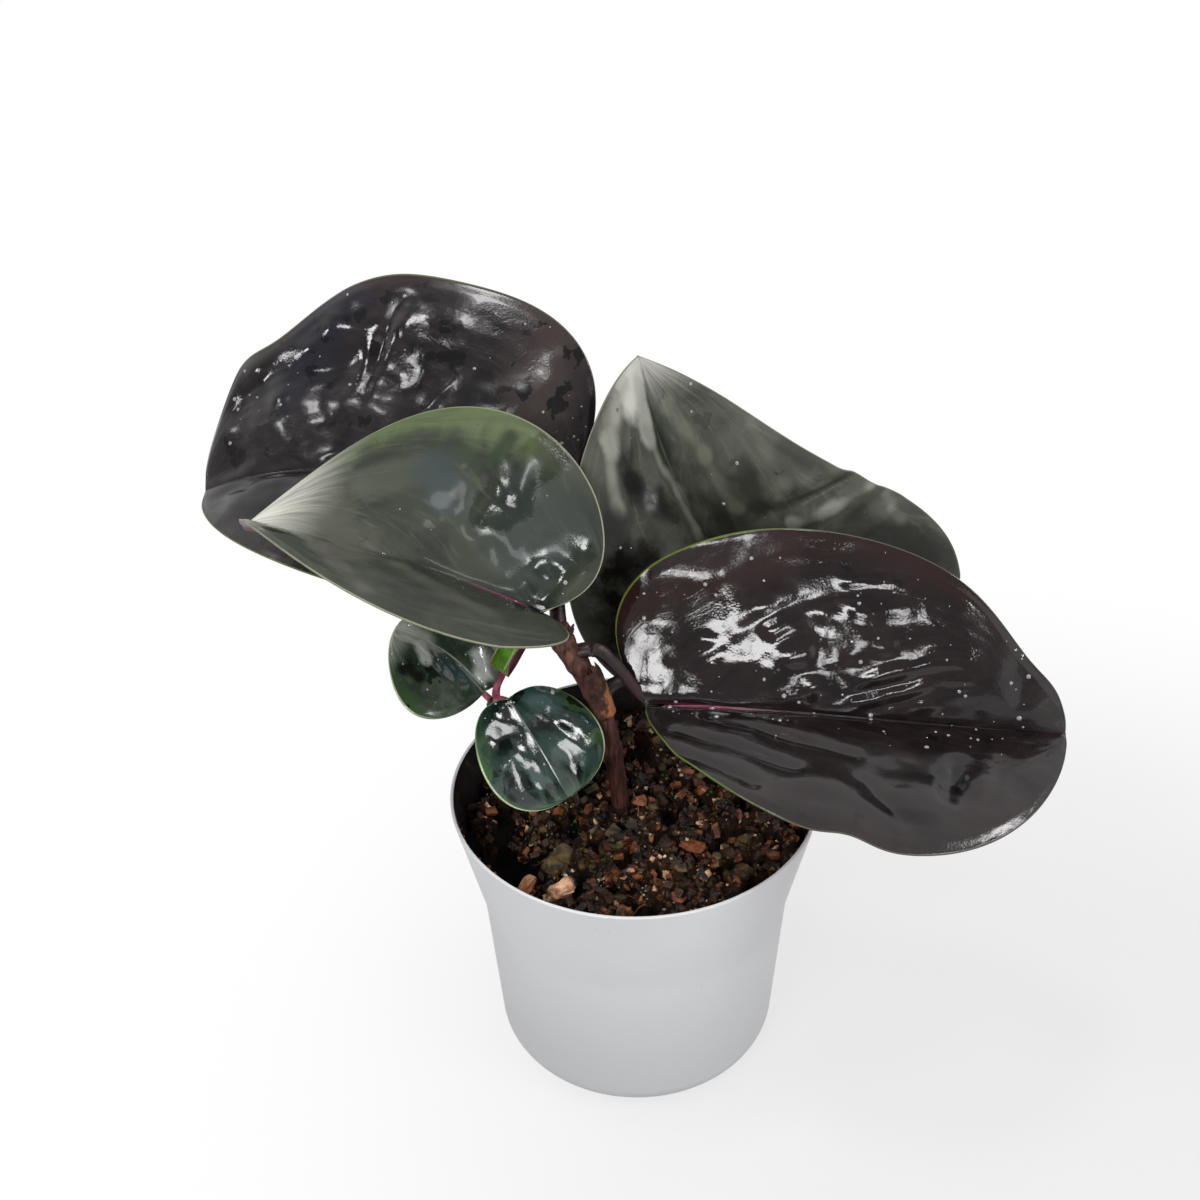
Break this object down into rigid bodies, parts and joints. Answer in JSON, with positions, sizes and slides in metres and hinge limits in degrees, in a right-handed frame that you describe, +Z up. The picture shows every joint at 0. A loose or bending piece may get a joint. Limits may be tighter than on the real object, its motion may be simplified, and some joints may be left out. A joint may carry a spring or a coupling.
{
  "type": "potted geogenanthus",
  "caption": "Small house plant with broad quilted near-black and grey-green leaves on a short stem, growing with a side shoot in a white round nursery pot of soil.",
  "frame": {"origin": "centre of the pot's flat base, on the surface it stands on", "axes": "+Z up; +X to the right and +Y away from the viewer when the two grey-green leaves are at the front left and back right"},
  "size_m": [0.2122, 0.1508, 0.1698],
  "materials": {
    "pot": "white thin-walled plastic, dark inside, satin with faint scuffs",
    "soil": "damp dark potting mix of bark, peat and grit",
    "stem": "brown-maroon fleshy stem, satin",
    "sheath": "dry papery orange-brown sheath",
    "bark": "rough orange-brown bark",
    "grey_leaf": "grey-green leaf with satin gloss and a pale margin",
    "dark_leaf": "near-black purple-brown quilted leaf, wet gloss",
    "teal_leaf": "dark teal-green puckered leaf, glossy",
    "young_leaf": "bright green rolled young leaf"
  },
  "bodies": {
    "root": {"pot": "pot", "soil": "soil", "main_stem": "stem", "side_shoot": "stem", "leaf_front_left": "grey_leaf", "leaf_back_left": "dark_leaf", "leaf_back_right": "grey_leaf", "leaf_front_right": "dark_leaf", "small_leaf_left": "teal_leaf", "small_leaf_front": "teal_leaf", "young_leaf": "young_leaf", "sheath_stem": "sheath", "sheath_crown": "sheath", "sheath_shoot": "sheath", "bark_chip_1": "bark", "bark_chip_2": "bark", "bark_chip_3": "bark", "bark_chip_4": "bark", "bark_chip_5": "bark", "bark_chip_6": "bark", "bark_chip_7": "bark", "bark_chip_8": "bark"}
  },
  "joints": []
}
